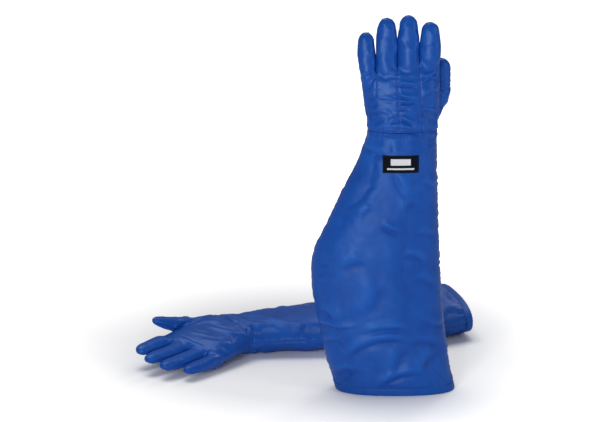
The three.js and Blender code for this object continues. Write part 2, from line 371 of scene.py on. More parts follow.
def pair_noise(points, scale, seed):
    """Soft noise from -1 to 1 at each point."""
    offset = Vector((seed * 17.3, seed * 5.1, seed * 9.7))
    return np.array([noise.noise(Vector(p) * scale + offset) for p in points])


def shaped_glove(side, lies):
    """The glove's whole outer skin in its own frame, and its digits."""
    digits = [Digit(row, lies) for row in FINGERS + [THUMB]]
    parts = [body_rings(lies), heel_rings(digits[-1], lies)] + [d.rings() for d in digits]
    points, faces, base = [], [], 0
    for rings in parts:
        some, skin = loft(rings)
        points.append(some)
        faces += [tuple(i + base for i in face) for face in skin]
        base += len(some)
    body = make_object(f"{side}_shaping", np.concatenate(points), faces)
    modified(body, ("REMESH", {"mode": "VOXEL", "voxel_size": VOXEL, "adaptivity": 0.0}))
    modified(body, ("SMOOTH", {"factor": 0.5, "iterations": 8}))
    return body, digits


def hand_value(points, lies):
    """1 on the skin of the sleeve and hand, less inside it and more outside."""
    x, y, wide, deep = section_at(lies, points[:, 2])
    return (np.abs((points[:, 0] - x) / wide) ** SECTION_POWER
            + np.abs((points[:, 1] - y) / deep) ** SECTION_POWER) ** (1 / SECTION_POWER)


def digit_values(points, digits):
    """For each digit: its own value as hand_value gives, its across and its height."""
    values = np.full((len(digits), len(points)), 9.0)
    across = np.zeros((len(digits), len(points)))
    up = np.full((len(digits), len(points)), -1.0)
    high = np.flatnonzero(points[:, 2] > 0.49)
    for i, digit in enumerate(digits):
        a, u = digit.unplace(points[high])
        wide = digit.half_width * SHAPING_WIDTH
        value = np.hypot(a / wide, (points[high, 1] - digit.y) / digit.half_depth)
        value = value + np.maximum(0, u - digit.length + wide) / wide
        values[i, high] = np.where(u < 0, 9, value) if digit.is_thumb else value
        across[i, high] = a
        up[i, high] = u
    return values, across, up


def swell(body, lies, digits):
    """Fills the fabric like padding does: held along its seams, slightly too large for them."""
    start = coordinates(body.data)
    z = start[:, 2]
    values, _, up = digit_values(start, digits)
    which = values.argmin(axis=0)
    on_digit = (values.min(axis=0) < 1.6) & (up[which, np.arange(len(start))] > 0)
    seam_y = np.where(on_digit, np.array([d.y for d in digits])[which], section_at(lies, z)[1])
    near_side = np.abs(start[:, 1] - seam_y) < 0.6 * VOXEL
    held = near_side | (np.abs(z - WRIST_SEAM_Z) < 0.5 * VOXEL) | (z < HEM_STITCH_Z)
    group = body.vertex_groups.new(name="held")
    group.add([int(i) for i in np.flatnonzero(held)], 1.0, "REPLACE")
    cloth = body.modifiers.new("cloth", "CLOTH")
    set_all(cloth.settings, quality=4, mass=0.25, use_pressure=True,
            uniform_pressure_force=4.0, shrink_min=-0.035, bending_stiffness=0.6,
            vertex_group_mass="held")
    cloth.settings.effector_weights.gravity = 0.0
    cloth.collision_settings.use_collision = False
    set_all(cloth.point_cache, frame_start=1, frame_end=CLOTH_FRAMES)
    for step in range(1, CLOTH_FRAMES + 1):
        bpy.context.scene.frame_set(step)
    depsgraph = bpy.context.evaluated_depsgraph_get()
    swollen = coordinates(body.evaluated_get(depsgraph).data)
    body.modifiers.remove(cloth)
    bpy.context.scene.frame_set(1)
    body.vertex_groups.clear()
    # how far the sleeve, hand and digits may swell out, and all of it in
    hand_cap, digit_cap = (1.2 * MM, 0.5 * MM) if lies else (2.5 * MM, 1.1 * MM)
    cap = np.where(on_digit, digit_cap, np.where(z > WRIST_SEAM_Z, hand_cap, 5.0 * MM))
    move = swollen - start
    outward = coordinates(body.data, "normal")
    inward = np.minimum((move * outward).sum(axis=1) + 1.2 * MM, 0)
    move = move - outward * inward[:, None]
    far = np.linalg.norm(move, axis=1) + 1e-9
    set_coordinates(body.data, start + move * (cap * np.tanh(far / cap) / far)[:, None])


def cut_lines(body, digits, lies):
    """Cuts the skin along the edges of its covers and opens the cuff."""
    mesh = bmesh.new()
    mesh.from_mesh(body.data)

    def cut(point, normal, wanted, clear=False):
        # keyed rather than in sets, so that their order is the same each run
        faces = [f for f in mesh.faces if wanted(f.calc_center_median())]
        edges = dict.fromkeys(e for f in faces for e in f.edges)
        verts = dict.fromkeys(v for f in faces for v in f.verts)
        bmesh.ops.bisect_plane(mesh, geom=[*verts, *edges, *faces], dist=1e-6,
                               plane_co=point, plane_no=normal, clear_inner=clear)

    cut((0, 0, HEM_EDGE_Z), (0, 0, 1), lambda c: c.z < 0.05, clear=True)
    for level in (FOREARM_CUT_Z, WRIST_SEAM_Z):
        cut((0, 0, level), (0, 0, 1), lambda c, level=level: abs(c.z - level) < 0.01)
    cut((0, 0, KNUCKLE_Z + FINGER_CUT), (-KNUCKLE_SLOPE, 0, 1),
        lambda c: abs(c.z - knuckle_line(c.x) - FINGER_CUT) < 0.012 and c.x < 0.08)
    thumb = digits[-1]
    middle = thumb.place(np.zeros(1), thumb.y, np.full(1, THUMB_CUT))[0]
    ahead = thumb.place(np.zeros(1), thumb.y, np.full(1, THUMB_CUT + MM))[0]

    def on_thumb(c):
        if abs(c.z - middle[2]) > 0.02 or c.x < 0.04:
            return False
        spot = np.array([c])
        return digit_values(spot, [thumb])[0][0, 0] < hand_value(spot, lies)[0]

    cut(middle, ahead - middle, on_thumb)
    mesh.to_mesh(body.data)
    mesh.free()


def finger_membership(points, digits, lies):
    """The digit each point is on, or -1, with its across and height there."""
    values, across, up = digit_values(points, digits)
    which = values[:4].argmin(axis=0)
    least = values[:4].min(axis=0)
    which = np.where(least < 8, which, -1)
    thumb = (values[4] < hand_value(points, lies)) & (values[4] < 1.6)
    which = np.where(thumb, 4, which)
    each = np.arange(len(points))
    return which, across[which, each], up[which, each]


def unfan(points, digits, lies):
    """Brings the fanned digits together, each to its own slot."""
    which, across, up = finger_membership(points, digits, lies)
    placed = points.copy()
    for i, digit in enumerate(digits):
        mine = (which == i) & (up > (0 if digit.is_thumb else -CROTCH_DEPTH))
        a, u = across[mine], up[mine]
        if digit.is_thumb:
            a = a * (1 + (digit.grow / SHAPING_WIDTH - 1) * 0.75 * smoothstep(u, 0, 16 * MM))
        else:
            limit = digit.half_width - SLOT_GAP
            filled = np.clip(a * digit.grow / SHAPING_WIDTH, -limit, limit)
            if digit.name == "little_finger":
                # its outer side starts further in and leans out to its slot
                lean = 5.5 * MM * (1 - smoothstep(u, 0, 55 * MM))
                filled = np.where(filled < 0, filled * (1 - lean / limit), filled)
            a = a + (filled - a) * smoothstep(u, -CROTCH_DEPTH, -0.25 * CROTCH_DEPTH)
        if digit.is_thumb and lies:
            heading = THUMB_SPREAD * smoothstep(digit.run, -6 * MM, 34 * MM)
            line_x, line_z = path_along(digit.run, heading, digit.middle, digit.root)
            turn = np.interp(u, digit.run, heading)
            placed[mine, 0] = np.interp(u, digit.run, line_x) + a * np.cos(turn)
            placed[mine, 2] = np.interp(u, digit.run, line_z) - a * np.sin(turn)
            placed[mine, 1] += THUMB_TILT * u * smoothstep(u, 0, 25 * MM)
        else:
            placed[mine, 0] = digit.middle + a
            placed[mine, 2] = digit.root + u
    return placed, which, up


def face_regions(body, digits, lies):
    """Names the cover each face belongs to, while the digits are still fanned."""
    mesh = body.data
    centres = np.empty(len(mesh.polygons) * 3)
    mesh.polygons.foreach_get("center", centres)
    centres = centres.reshape(-1, 3)
    which, _, up = finger_membership(centres, digits, lies)
    z = centres[:, 2]
    region = np.where(z < FOREARM_CUT_Z, 0, np.where(z < WRIST_SEAM_Z, 1, 2))
    past = z > knuckle_line(centres[:, 0]) + FINGER_CUT
    for i in range(4):
        region[(which == i) & past] = 3 + i
    region[(which == 4) & (up > THUMB_CUT)] = 7
    return region


# ---------------------------------------------------------------- folds and seams

# Folds of the outer fabric in millimetres: x and z of both ends, half width, height, bow.
BACK_FOLDS = [
    # lower sleeve
    (-58, 121, 16, 128, 7.0, 2.6, 4), (-94, 72, 12, 108, 9.0, 2.4, 16),
    (-34, 24, 42, 48, 8.0, 2.6, 9), (-142, 130, -74, 127, 4.5, 1.6, -2),
    (-128, 158, -100, 140, 8.0, 1.6, 3), (-20, 40, 2, 92, 13.0, 1.8, 4),
    (34, 52, 60, 84, 11.0, 1.9, 4), (-74, 150, -52, 214, 16.0, 1.9, -8),
    (20, 104, 76, 92, 8.0, 1.5, 5), (-112, 40, -66, 52, 7.0, 1.4, 4),
    (40, 140, 84, 126, 6.0, 1.3, -3), (-128, 96, -92, 104, 6.0, 1.3, 3),
    # elbow and forearm
    (12, 256, 48, 240, 7.0, 2.0, 5), (30, 214, 68, 196, 8.0, 1.5, 5),
    (-26, 309, 4, 296, 6.0, 1.9, -3), (32, 292, 62, 284, 6.0, 1.3, 3),
    (-100, 232, -62, 250, 12.0, 1.7, 6), (-70, 320, -48, 338, 9.0, 1.4, 4),
    (-8, 447, 20, 352, 7.5, 1.7, -7), (-58, 436, -26, 420, 6.0, 1.5, 4),
    (4, 330, 22, 348, 8.0, 1.5, 5), (40, 380, 60, 366, 6.0, 1.2, 3),
    # hand
    (-3, 540, 30, 537, 3.2, 1.5, 2), (-2, 524, 28, 519, 3.4, 1.7, -3),
    (-2, 512, 31, 514, 2.8, 1.6, -2), (-2, 499, 16, 501, 3.0, 1.2, 2),
    (2, 484, 28, 470, 3.2, 1.5, 2), (-18, 474, -6, 482, 4.0, 1.0, 2),
    (34, 497, 61, 492, 3.0, 1.3, 2), (36, 553, 62, 561, 3.0, 1.9, -3),
    (40, 546, 60, 549, 3.0, 1.3, 3), (-70, 553, -46, 561, 3.0, 1.1, -2),
    (-36, 515, -8, 513, 3.6, 0.7, 2), (-52, 494, -14, 490, 4.0, 0.7, 3),
    (38, 520, 60, 530, 4.0, 0.9, 3), (-34, 470, 34, 466, 3.4, 0.8, 2),
]
PALM_FOLDS = [
    # lower sleeve
    (-110, 110, -20, 92, 9.0, 2.6, 10), (0, 60, 70, 84, 9.0, 2.2, -8),
    (-96, 170, -30, 200, 13.0, 2.2, 10), (20, 150, 76, 128, 8.0, 2.0, 6),
    (-70, 40, 10, 30, 8.0, 2.0, 6), (-130, 214, -84, 226, 9.0, 1.8, -5),
    (-40, 120, 30, 132, 7.0, 1.8, -6),
    # forearm, drawn in at the wrist
    (-96, 292, -50, 320, 9.0, 2.0, 6), (10, 250, 60, 272, 9.0, 1.8, 6),
    (-70, 352, -20, 392, 9.0, 2.3, 9), (0, 322, 54, 350, 9.0, 1.6, -7),
    (-48, 402, 14, 446, 7.0, 2.7, 8), (-16, 390, 44, 440, 6.5, 2.3, 7),
    (14, 380, 62, 414, 6.0, 1.9, 6), (-58, 424, -22, 452, 5.0, 2.0, 4),
    # palm
    (-40, 470, 20, 500, 5.5, 2.0, 8), (-52, 500, -8, 540, 6.0, 1.4, 6),
    (10, 476, 44, 520, 6.0, 1.8, -9), (-30, 552, 30, 560, 4.0, 1.4, 2),
    (-10, 520, 34, 535, 5.0, 1.3, 4),
]
# Seams sewn up the back of the hand: lower end, x at the wrist seam, x at the upper end and
# the upper end, in millimetres.
BACK_SEAMS = [(459, 0.0, -4.0, 560), (459, 38.0, 32.4, 569), (516, -41.0, -39.6, 548)]


def fold_height(points, folds):
    """Height of the folds at each point, from its x and z."""
    x, z = points[:, 0] / MM, points[:, 2] / MM
    total = np.zeros(len(points))
    gain = 1.35 + 0.5 * smoothstep(z, 458, 472)
    for x0, z0, x1, z1, width, height, bow in folds:
        length = math.hypot(x1 - x0, z1 - z0)
        along_x, along_z = (x1 - x0) / length, (z1 - z0) / length
        t = ((x - x0) * along_x + (z - z0) * along_z) / length
        off = -(x - x0) * along_z + (z - z0) * along_x
        off = off - bow * 4 * t * (1 - t)
        ends = smoothstep(t, -0.12, 0.3) * (1 - smoothstep(t, 0.7, 1.12))
        ridge = np.exp(-((off / width) ** 2))
        valley = np.exp(-(((off + 1.35 * width) / (0.7 * width)) ** 2))
        total += gain * height * MM * ends * (ridge - 0.75 * valley)
    return total


def seam_line_x(seam, z):
    """x of a back seam at height z, in metres."""
    _, low, high, top = seam
    share = np.clip((z / MM - 459) / (top - 459), 0, 1)
    return (low + (high - low) * share) * MM


def ripple(run, pitch, seed):
    """Uneven ripples along a line: run in metres, pitch in millimetres."""
    a = run / (pitch * MM) * 2 * math.pi
    return (np.sin(a + 1.3 * np.sin(a * 0.37 + seed)) * (0.7 + 0.5 * np.sin(a * 0.23 + 2 * seed))
            + 0.4 * np.sin(a * 1.83 + seed))


def near(distance, width):
    """1 at no distance, falling to nothing over a few widths, given in millimetres."""
    return np.exp(-((distance / (width * MM)) ** 2))


def dressed(points, normals, which, up, lies, digits):
    """Moves the skin along its normals: seams drawn in, puckers beside them, folds."""
    x, z = points[:, 0], points[:, 2]
    middle_x, middle_y, wide, _ = section_at(lies, z)
    back = smoothstep(-normals[:, 1], 0.15, 0.6)
    palm = smoothstep(normals[:, 1], 0.15, 0.6)
    body_share = 1 - smoothstep(up, 0, 16 * MM)
    height = (back * fold_height(points, BACK_FOLDS)
              + palm * (0.5 if lies else 1.0) * fold_height(points, PALM_FOLDS)) * body_share
    # side seams of the sleeve and hand
    thumb_side = x > middle_x
    beside = np.hypot(points[:, 1] - middle_y, wide - np.abs(x - middle_x))
    pucker = np.where(thumb_side, ripple(z, 17, 0.4), ripple(z, 23, 1.9))
    sleeve = (1 - smoothstep(z, 470 * MM, 490 * MM)) * smoothstep(z, 6 * MM, 20 * MM)
    gather = (0.35 if lies else 0.8) * np.where(thumb_side, 1.0, 0.55) * MM
    height += sleeve * pucker * gather * near(beside, 11)
    height -= sleeve * 1.0 * MM * near(beside, 2.4)
    # wrist seam, and the fabric gathered into it
    from_wrist = np.abs(z - WRIST_SEAM_Z)
    turn = np.arctan2(points[:, 1] - middle_y, x - middle_x)
    tight = (0.45 if lies else 1.0) * body_share * MM
    height -= 1.3 * tight * near(from_wrist, 2.2)
    height += 0.7 * tight * near(from_wrist - 7 * MM, 6)
    height += ripple(turn * 0.06, 11, 0.9) * 0.35 * tight * near(from_wrist, 11)
    # turned hem
    height += (ripple(turn * 0.1, 14, 0.2) * 0.5 * MM * smoothstep(z, HEM_STITCH_Z, 17 * MM)
               * near(np.abs(z - HEM_STITCH_Z), 16))
    height -= 0.7 * MM * (1 - smoothstep(z, 12.6 * MM, 14.6 * MM))
    # seams up the back of the hand, the one beside the little finger weaker
    for number, seam in enumerate(BACK_SEAMS):
        low, top = seam[0] * MM, seam[3] * MM
        off = x - seam_line_x(seam, z)
        within = smoothstep(z, low - 2 * MM, low + 6 * MM) * (1 - smoothstep(z, top, top + 8 * MM))
        strength = (0.6 if number == 2 else 1.0) * MM * back * within
        height -= strength * 1.1 * near(off, 1.9)
        height += strength * 0.45 * ripple(z, 12, number * 1.7) * near(off, 8)
    # creases at the finger and thumb roots
    for i, digit in enumerate(digits):
        mine = which == i
        if digit.is_thumb:
            for level, size in ((13, 1.2), (20, 1.3), (27, 1.0), (35, 0.7)):
                tilt = level * MM + 0.22 * (points[:, 1] - digit.y)
                height -= mine * size * (0.3 if lies else 0.8) * MM * near(up - tilt, 2.6)
        elif not lies:
            for level, size, width in ((12.0, 0.8, 2.6), (31.2, 0.6, 2.8)):
                height -= mine * palm * size * MM * near(up - level * MM, width)
    # broad unevenness, largest in the sleeve, and small crumples
    soft = pair_noise(points, 15.0, 1 + lies) * 1.6 + pair_noise(points, 42.0, 3 + lies) * 0.9
    fine = pair_noise(points, 110.0, 5 + lies) * 0.22
    height += (soft * (0.25 + 0.75 * body_share) * sleeve_share(z) + fine) * MM
    # the label holds the fabric under it flat
    beyond = np.maximum(np.abs(x - LABEL_MIDDLE[0]) - LABEL_SIZE[0] / 2,
                        np.abs(z - LABEL_MIDDLE[1]) - LABEL_SIZE[1] / 2)
    height *= 1 - 0.9 * back * (1 - smoothstep(beyond, 0, 9 * MM))
    return points + normals * height[:, None], height / MM


def sleeve_share(z):
    """How much of the broad unevenness there is at height z."""
    return smoothstep(z, 14 * MM, 40 * MM) * (1 - 0.6 * smoothstep(z, 440 * MM, 480 * MM))


# ---------------------------------------------------------------- standing and lying

def bend_share(z):
    """Share of the lying bend that is done at height z: half in the elbow, half in the wrist."""
    elbow = smoothstep(z, ELBOW_Z - ELBOW_REACH, ELBOW_Z + ELBOW_REACH)
    return (elbow + wrist_share(z)) / 2


def wrist_share(z):
    return smoothstep(z, WRIST_Z - WRIST_REACH, WRIST_Z + WRIST_REACH)


# The lying glove's little-finger edge, followed in steps of a millimetre.
SPINE_Z = np.linspace(0, 0.68, 681)
SPINE_MIDDLES = (SPINE_Z[1:] + SPINE_Z[:-1]) / 2
SPINE_HEADING = LYING_BEND * bend_share(SPINE_MIDDLES)
SPINE_X = np.concatenate([[0], np.cumsum(-np.sin(SPINE_HEADING)) * SPINE_Z[1]])
SPINE_END = np.concatenate([[0], np.cumsum(np.cos(SPINE_HEADING)) * SPINE_Z[1]])

hem_low, hem_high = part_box("left_hem_binding")
STANDING_ORIGIN = np.array([(hem_low.x + hem_high.x) / 2 + 1.5 * MM,
                            (hem_low.y + hem_high.y) / 2, hem_low.z])
AWAY = np.array([-math.sin(LYING_HEADING), math.cos(LYING_HEADING), 0])
AHEAD = np.array([-math.cos(LYING_HEADING), -math.sin(LYING_HEADING), 0])
UPWARD = np.array([0.0, 0.0, 1.0])


def settled(points, lies):
    """From a glove's own frame to where it stands or lies."""
    points = np.asarray(points, float)
    if not lies:
        return points + STANDING_ORIGIN
    x, y, z = points.T
    edge = float(outline(LEFT_EDGE, WRIST_Z + WRIST_REACH))
    bend = LYING_BEND * bend_share(z)
    roll = LYING_ROLL * wrist_share(z)
    across = edge + (x - edge) * np.cos(roll) - y * np.sin(roll)
    above = (x - edge) * np.sin(roll) + y * np.cos(roll)
    side = np.interp(z, SPINE_Z, SPINE_X) + across * np.cos(bend)
    end = np.interp(z, SPINE_Z, SPINE_END) + np.minimum(z, 0) + across * np.sin(bend)
    start = STANDING_ORIGIN + np.array(LYING_CUFF)
    placed = start + side[:, None] * AWAY + above[:, None] * UPWARD + end[:, None] * AHEAD
    placed[:, 2] = np.maximum(placed[:, 2], 0.4 * MM)
    return placed


def relaxed(body, share, rounds):
    """Smooths the skin where share, from 0 to 1, says so."""
    group = body.vertex_groups.new(name="eased")
    for level in (0.25, 0.5, 0.75, 1.0):
        chosen = np.flatnonzero((share > level - 0.125) & (share <= level + 0.125))
        group.add([int(i) for i in chosen], level, "REPLACE")
    modified(body, ("SMOOTH", {"factor": 0.5, "iterations": rounds, "vertex_group": "eased"}))
    body.vertex_groups.clear()
    return body


class Skin:
    """One glove's outer skin: straight, settled, and split into covers."""

    COVERS = ["sleeve", "forearm_cover", "hand_cover", "little_finger_cover",
              "ring_finger_cover", "middle_finger_cover", "index_finger_cover", "thumb_cover"]

    def __init__(self, side, lies):
        self.side, self.lies = side, lies
        body, self.digits = shaped_glove(side, lies)
        swell(body, lies, self.digits)
        modified(body, ("SUBSURF", {"levels": 1, "render_levels": 1}))
        cut_lines(body, self.digits, lies)
        self.region = face_regions(body, self.digits, lies)
        fanned = coordinates(body.data)
        together, which, up = unfan(fanned, self.digits, lies)
        set_coordinates(body.data, together)
        centre = np.array([d.middle for d in self.digits])[which]
        reach = np.array([d.half_width for d in self.digits])[which]
        off_centre = (together[:, 0] - centre) / reach
        inward = 1 - smoothstep(np.abs(off_centre), 0.6, 0.85)
        outer_edge = ((which == 0) & (off_centre < 0)) | ((which == 3) & (off_centre > 0))
        inward = np.where(outer_edge, 1.0, inward)
        near_root = (smoothstep(up, -20 * MM, -8 * MM) * (1 - smoothstep(up, 12 * MM, 24 * MM))
                     * (which >= 0) * np.where(up > -CROTCH_DEPTH, inward, 1.0))
        relaxed(body, near_root, 14)
        points = coordinates(body.data)
        points, self.height = dressed(points, coordinates(body.data, "normal"), which, up,
                                      lies, self.digits)
        for i, digit in enumerate(self.digits[:4]):
            mine = (which == i) & (up > 4 * MM)
            points[mine, 0] = np.clip(points[mine, 0], digit.slot[0] + SLOT_GAP,
                                      digit.slot[1] - SLOT_GAP)
        self.straight = points
        set_coordinates(body.data, points)
        self.faces = [tuple(p.vertices) for p in body.data.polygons]
        self.tree = BVHTree.FromPolygons([tuple(p) for p in points], self.faces)
        self.placed = settled(points, lies)
        set_coordinates(body.data, self.placed)
        if lies:
            body.data.flip_normals()
        self.normals = coordinates(body.data, "normal")
        bpy.data.objects.remove(body)

    def on_skin(self, start, direction):
        """Where a line from start meets the straight skin, and the normal there."""
        spot, normal, _, _ = self.tree.ray_cast(Vector(start), Vector(direction).normalized())
        return spot, normal

    def traced(self, rays, out):
        """The settled line just above the skin where rays of (start, direction) meet it."""
        line = []
        for start, direction in rays:
            spot, normal = self.on_skin(start, direction)
            if spot is not None:
                line.append(np.array(spot) + np.array(normal) * out)
        return settled(line, self.lies)

    def covers(self, material):
        """One object per cover, with the whole skin's normals, so that no edge shows."""
        made = {}
        for number, cover in enumerate(self.COVERS):
            chosen = np.flatnonzero(self.region == number)
            used = sorted({v for f in chosen for v in self.faces[f]})
            place = {v: i for i, v in enumerate(used)}
            turn = -1 if self.lies else 1
            faces = [tuple(place[v] for v in self.faces[f])[::turn] for f in chosen]
            piece = make_object(f"{self.side}_{cover}", self.placed[used], faces)
            finish_mesh(piece.data, material, self.straight[used])
            # the fold height, which the shell's colour turns into painted shade in the valleys and
            # painted highlight on the ridges
            relief = piece.data.attributes.new("relief", "FLOAT", "POINT")
            relief.data.foreach_set("value", self.height[used].astype(np.float32))
            piece.data.normals_split_custom_set_from_vertices(
                [tuple(n) for n in self.normals[used]])
            made[cover] = piece
        return made


# ---------------------------------------------------------------- tape, lining, patch

def ring_wall(side, name, lies, profile, turns, material, unevenness):
    """A wall round the glove from a closed profile of (height, inset) in millimetres."""
    turn = full_turn(turns)
    shape = oval(turn)
    rings = []
    for height, inset in profile:
        z = height * MM
        x, y, wide, deep = section_at(lies, max(z, 0.0), inset * MM)
        wave = unevenness * MM * ripple(turn * 0.1, 13, 0.7 + 0.05 * height)
        rings.append(ring_at(shape, x, y, wide + wave, deep + wave, z))
    points = np.concatenate(rings)
    piece = make_object(f"{side}_{name}", settled(points, lies),
                        quads(len(profile), turns, rows_close=True))
    mesh = bmesh.new()
    mesh.from_mesh(piece.data)
    bmesh.ops.recalc_face_normals(mesh, faces=mesh.faces)
    mesh.to_mesh(piece.data)
    mesh.free()
    finish_mesh(piece.data, material, points)
    return piece


def hem_tape(side, lies, material):
    """The folded tape round the cuff's edge, rounded at its fold."""
    profile = [(13.9, 0.15), (12.6, -0.25), (8.0, -0.4), (3.6, -0.4), (1.4, -0.2), (0.45, 0.5),
               (0.25, 2.0), (0.25, 5.0), (0.5, 7.8), (1.5, 8.4), (5.0, 8.5), (11.0, 8.4),
               (13.6, 8.0), (13.8, 7.2), (11.0, 7.0), (2.4, 7.0), (2.2, 1.5), (11.0, 1.5),
               (14.0, 1.4)]
    return ring_wall(side, "hem_tape", lies, profile, 320, material, 0.16)


def lining_tube(side, name, lies, low, high, closed, material):
    """The lining inside the sleeve or hand: a thin wall with soft quilted channels."""
    outer, inner = [], []
    for z in np.arange(low, high, 6.0).tolist() + [high]:
        quilt = 0.9 * math.sin(math.pi * ((z % 38) / 38)) ** 0.6
        outer.append((z, 9.0 - quilt * 0.5))
        inner.append((z, 11.4 - quilt * 1.4))
    if closed:
        outer += [(high + 5, 14), (high + 8, 17.5)]
        inner += [(high + 3, 14), (high + 6, 17.5)]
    profile = outer + inner[::-1]
    return ring_wall(side, name, lies, profile, 96, material, 0.1)


def patch(skin, material):
    """The woven label, laid on the back of the sleeve."""
    columns, rows = 36, 20
    wide, high = LABEL_SIZE
    points, spots = [], []
    for r in range(rows + 1):
        for c in range(columns + 1):
            u, v = c / columns, r / rows
            x = LABEL_MIDDLE[0] + (u - 0.5) * wide
            z = LABEL_MIDDLE[1] + (v - 0.5) * high
            spot, _ = skin.on_skin((x, -0.2, z), (0, 1, 0))
            points.append([x, spot.y, z])
            spots.append((u, v))
    points = np.array(points).reshape(rows + 1, columns + 1, 3)
    smooth_y = points[:, :, 1].copy()
    for _ in range(6):
        inner = smooth_y.copy()
        inner[1:-1, 1:-1] = (smooth_y[:-2, 1:-1] + smooth_y[2:, 1:-1]
                             + smooth_y[1:-1, :-2] + smooth_y[1:-1, 2:]) / 4
        smooth_y = inner
    points[:, :, 1] = np.minimum(smooth_y, points[:, :, 1]) - 0.35 * MM
    flat = points.reshape(-1, 3)
    faces = quads(rows + 1, columns + 1, columns_close=False)
    piece = make_object(f"{skin.side}_woven_label", settled(flat, skin.lies), faces)
    if skin.lies:
        piece.data.flip_normals()
    layer = piece.data.uv_layers.new(name="weave")
    for loop in piece.data.loops:
        layer.data[loop.index].uv = spots[loop.vertex_index]
    finish_mesh(piece.data, material)
    modified(piece, ("SOLIDIFY", {"thickness": 0.7 * MM, "offset": 1.0}))
    return piece


# ---------------------------------------------------------------- stitches

def wired(tree, made, values):
    """Sets a node's inputs, or links them where the value is a socket."""
    for key, value in values.items():
        if isinstance(value, bpy.types.NodeSocket):
            tree.links.new(value, made.inputs[key])
        else:
            made.inputs[key].default_value = value
    return made


def node(tree, kind, values=None, **settings):
    return wired(tree, set_all(tree.nodes.new(kind), **settings), values or {})


def math_node(tree, operation, a, b):
    return node(tree, "ShaderNodeMath", {0: a, 1: b}, operation=operation).outputs[0]


def new_group(name, inputs, outputs, kind="ShaderNodeTree"):
    """A node group, its input sockets and its output node."""
    tree = bpy.data.node_groups.new(name, kind)
    for way, sockets in (("INPUT", inputs), ("OUTPUT", outputs)):
        for label, socket in sockets.items():
            tree.interface.new_socket(label, in_out=way, socket_type=f"NodeSocket{socket}")
    return tree, tree.nodes.new("NodeGroupInput").outputs, tree.nodes.new("NodeGroupOutput")


def stitch_tree():
    """Stitches along curves: rounded threads at an even pitch, lying along the line."""
    tree, given, result = new_group(
        "stitches", {"Seam": "Geometry", "Pitch": "Float", "Thread length": "Float",
                     "Thread radius": "Float", "Thread": "Material"},
        {"Stitches": "Geometry"}, "GeometryNodeTree")
    spread = node(tree, "GeometryNodeCurveToPoints",
                  {"Curve": given["Seam"], "Length": given["Pitch"]}, mode="LENGTH")
    bead = node(tree, "GeometryNodeMeshUVSphere", {"Segments": 6, "Rings": 5, "Radius": 1.0})
    radius = given["Thread radius"]
    half = math_node(tree, "MULTIPLY", given["Thread length"], 0.5)
    size = node(tree, "ShaderNodeCombineXYZ", {"X": radius, "Y": radius, "Z": half})
    threads = node(tree, "GeometryNodeInstanceOnPoints", {
        "Points": spread.outputs["Points"], "Rotation": spread.outputs["Rotation"],
        "Instance": bead.outputs["Mesh"], "Scale": size.outputs["Vector"]}).outputs["Instances"]
    for kind in ("RealizeInstances", "SetShadeSmooth"):
        threads = node(tree, f"GeometryNode{kind}", {"Geometry": threads}).outputs["Geometry"]
    threads = node(tree, "GeometryNodeSetMaterial", {"Geometry": threads,
                                                     "Material": given["Thread"]})
    wired(tree, result, {"Stitches": threads.outputs["Geometry"]})
    return tree


def stitched(name, lines, pitch, length, radius, material):
    """A row of stitches along lines of points, as one plain mesh."""
    curve = bpy.data.curves.new(name, "CURVE")
    curve.dimensions = "3D"
    for line in lines:
        spline = curve.splines.new("POLY")
        spline.points.add(len(line) - 1)
        spline.points.foreach_set("co", np.c_[line, np.ones(len(line))].ravel())
    seam = added(name, curve)
    modifier = set_all(seam.modifiers.new("stitches", "NODES"), node_group=STITCHES)
    values = {"Pitch": pitch, "Thread length": length, "Thread radius": radius,
              "Thread": material}
    for item in STITCHES.interface.items_tree:
        if item.in_out == "INPUT" and item.name in values:
            modifier[item.identifier] = values[item.name]
    mesh = evaluated_mesh(seam)
    mesh.name = name
    bpy.data.objects.remove(seam)
    return added(name, mesh)


def line_round(skin, z):
    """A closed line on the skin at height z."""
    x, y, wide, deep = section_at(skin.lies, z)
    rays = []
    for turn in np.linspace(0, 2 * math.pi, 201):
        c, s = math.cos(turn), math.sin(turn)
        start = Vector((x + c * (wide + 0.05), y + s * (deep + 0.05), z))
        rays.append((start, Vector((x + 0.6 * wide * c, y, z)) - start))
    return skin.traced(rays, 0.25 * MM)


def line_up(skin, seam, off):
    """A line up the back of the hand, beside a back seam."""
    heights = np.arange((seam[0] + 5) * MM, (seam[3] - 4) * MM, 1.5 * MM)
    rays = [((float(seam_line_x(seam, z) + off), -0.25, z), (0, 1, 0)) for z in heights]
    return skin.traced(rays, 0.1 * MM)


def line_beside(skin, edge, low, high):
    """A line up the sleeve's little-finger (-1) or thumb (1) side."""
    rays = []
    for z in np.arange(low, high, 1.5 * MM):
        x, y, wide, _ = section_at(skin.lies, z)
        rays.append(((x + edge * (wide + 0.05), y, z), (-edge, 0, 0)))
    return skin.traced(rays, 0.15 * MM)


# ---------------------------------------------------------------- materials

def weave_group():
    """Fine crossing threads: their height, and a mask that varies from thread to thread."""
    tree, given, result = new_group(
        "woven_threads", {"Place": "Vector", "Threads per metre": "Float"},
        {"Height": "Float", "Slub": "Float"})
    scale = math_node(tree, "MULTIPLY", given["Threads per metre"], 0.159)
    warp, weft = (node(tree, "ShaderNodeTexWave", {"Vector": given["Place"], "Scale": scale},
                       bands_direction=way).outputs["Fac"] for way in "XZ")
    stretched = node(tree, "ShaderNodeMapping", {"Vector": given["Place"],
                                                 "Scale": (300.0, 300.0, 40.0)})
    slub = node(tree, "ShaderNodeTexNoise", {"Vector": stretched.outputs[0], "Scale": 1.0,
                                             "Detail": 2.0})
    wired(tree, result, {"Height": math_node(tree, "MULTIPLY", warp, weft),
                         "Slub": slub.outputs["Fac"]})
    return tree


